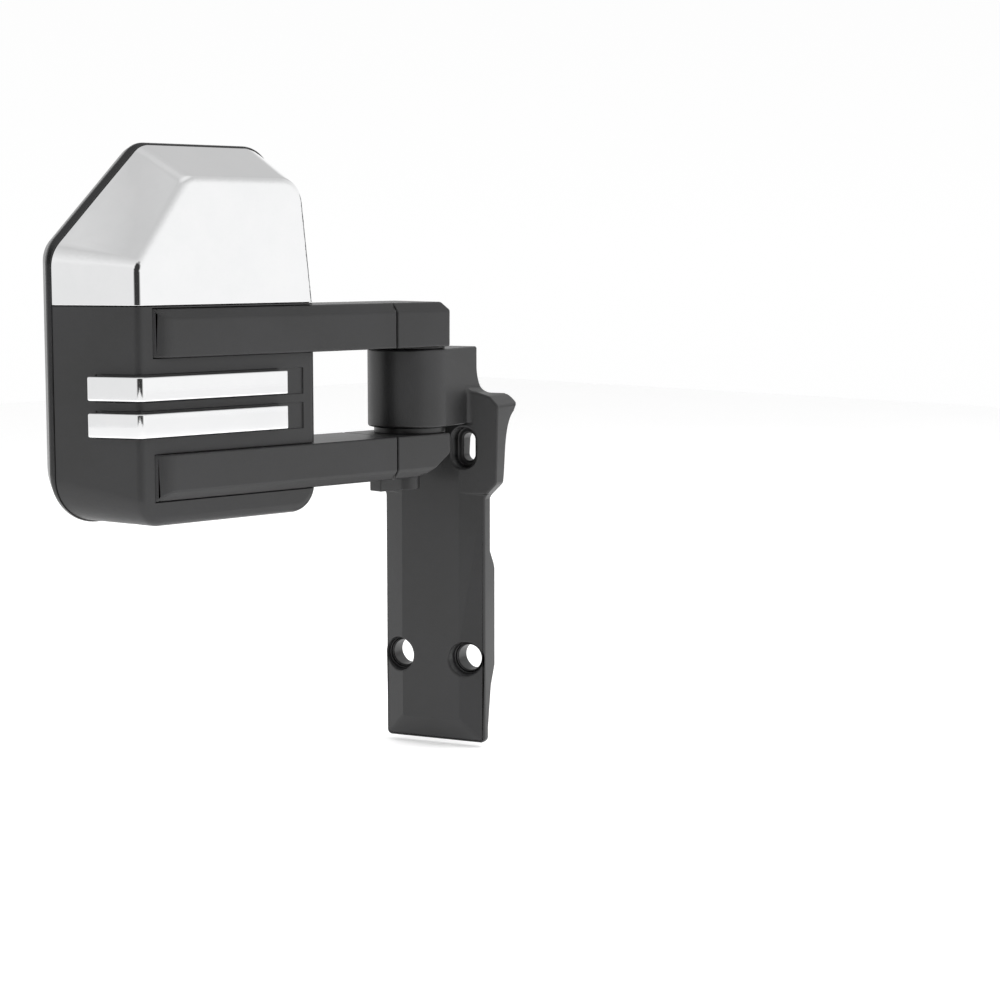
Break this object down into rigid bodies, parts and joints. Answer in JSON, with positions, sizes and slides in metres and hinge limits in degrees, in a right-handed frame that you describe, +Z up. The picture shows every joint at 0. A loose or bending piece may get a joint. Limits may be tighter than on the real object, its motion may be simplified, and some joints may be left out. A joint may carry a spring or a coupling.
{
  "type": "car side mirror",
  "caption": "Extendable towing mirror for a vehicle's right side: bracket with fold pivot, twin telescoping arms, main glass over a convex spotter glass.",
  "frame": {"origin": "middle of the flat mounting face on the back of the base bracket", "axes": "+X outboard along the arms, +Y forward in the direction of travel, +Z up; the glass faces -Y"},
  "size_m": [0.4338, 0.1256, 0.5075],
  "materials": {
    "bracket_plastic": "fine-grained matte black",
    "arm_plastic": "fine-grained satin black",
    "shell_plastic": "fine-grained satin black",
    "bezel_plastic": "semi-gloss black",
    "inner_plastic": "plain moulded black",
    "holder_plastic": "plain moulded black",
    "bearing_plastic": "natural acetal",
    "thrust_plastic": "smooth black acetal",
    "chrome_plating": "mirror-bright plating on plastic",
    "mirror_glass": "silvered glass",
    "bright_steel": "zinc-plated steel",
    "rail_aluminium": "drawn aluminium tube"
  },
  "bodies": {
    "base": {"base_bracket": "bracket_plastic", "base_plate": "bracket_plastic", "upper_bush": "bearing_plastic", "lower_bush": "bearing_plastic"},
    "yoke": {"upper_knuckle": "arm_plastic", "lower_knuckle": "arm_plastic", "pivot_tube": "bright_steel", "upper_washer": "thrust_plastic", "lower_washer": "thrust_plastic", "pivot_bolt": "bright_steel", "disc_springs": "bright_steel", "pivot_nut": "bright_steel", "pivot_cap": "arm_plastic", "upper_rail": "rail_aluminium", "lower_rail": "rail_aluminium", "upper_rail_pad": "bearing_plastic", "lower_rail_pad": "bearing_plastic"},
    "head": {"upper_sleeve": "arm_plastic", "lower_sleeve": "arm_plastic", "upper_slide_bush": "bearing_plastic", "lower_slide_bush": "bearing_plastic", "rear_shell": "shell_plastic", "chrome_cap": "chrome_plating", "upper_trim": "chrome_plating", "lower_trim": "chrome_plating", "bezel": "bezel_plastic", "head_frame": "inner_plastic", "upper_actuator": "inner_plastic", "lower_actuator": "inner_plastic", "frame_screws": "bright_steel", "actuator_screws": "bright_steel"},
    "main_gimbal": {"upper_gimbal": "inner_plastic"},
    "main_glass": {"upper_glass_holder": "holder_plastic", "upper_glass": "mirror_glass"},
    "spotter_gimbal": {"lower_gimbal": "inner_plastic"},
    "spotter_glass": {"lower_glass_holder": "holder_plastic", "lower_glass": "mirror_glass"}
  },
  "joints": [
    {"name": "fold", "type": "hinge", "parent": "base", "child": "yoke", "pos_m": [0.06331, 0.02342, 0.2], "axis": [0, 0, 1], "range_deg": [-68, 60]},
    {"name": "extend", "type": "slide", "parent": "yoke", "child": "head", "axis": [1, 0, 0], "range_m": [0, 0.1]},
    {"name": "main_tilt", "type": "hinge", "parent": "head", "child": "main_gimbal", "pos_m": [0.28431, -0.01058, 0.298], "axis": [1, 0, 0], "range_deg": [-6, 6]},
    {"name": "main_pan", "type": "hinge", "parent": "main_gimbal", "child": "main_glass", "pos_m": [0.28431, -0.01058, 0.298], "axis": [0, 0, 1], "range_deg": [-6, 6]},
    {"name": "spotter_tilt", "type": "hinge", "parent": "head", "child": "spotter_gimbal", "pos_m": [0.28681, -0.01058, 0.165], "axis": [1, 0, 0], "range_deg": [-5, 5]},
    {"name": "spotter_pan", "type": "hinge", "parent": "spotter_gimbal", "child": "spotter_glass", "pos_m": [0.28681, -0.01058, 0.165], "axis": [0, 0, 1], "range_deg": [-5, 5]}
  ]
}
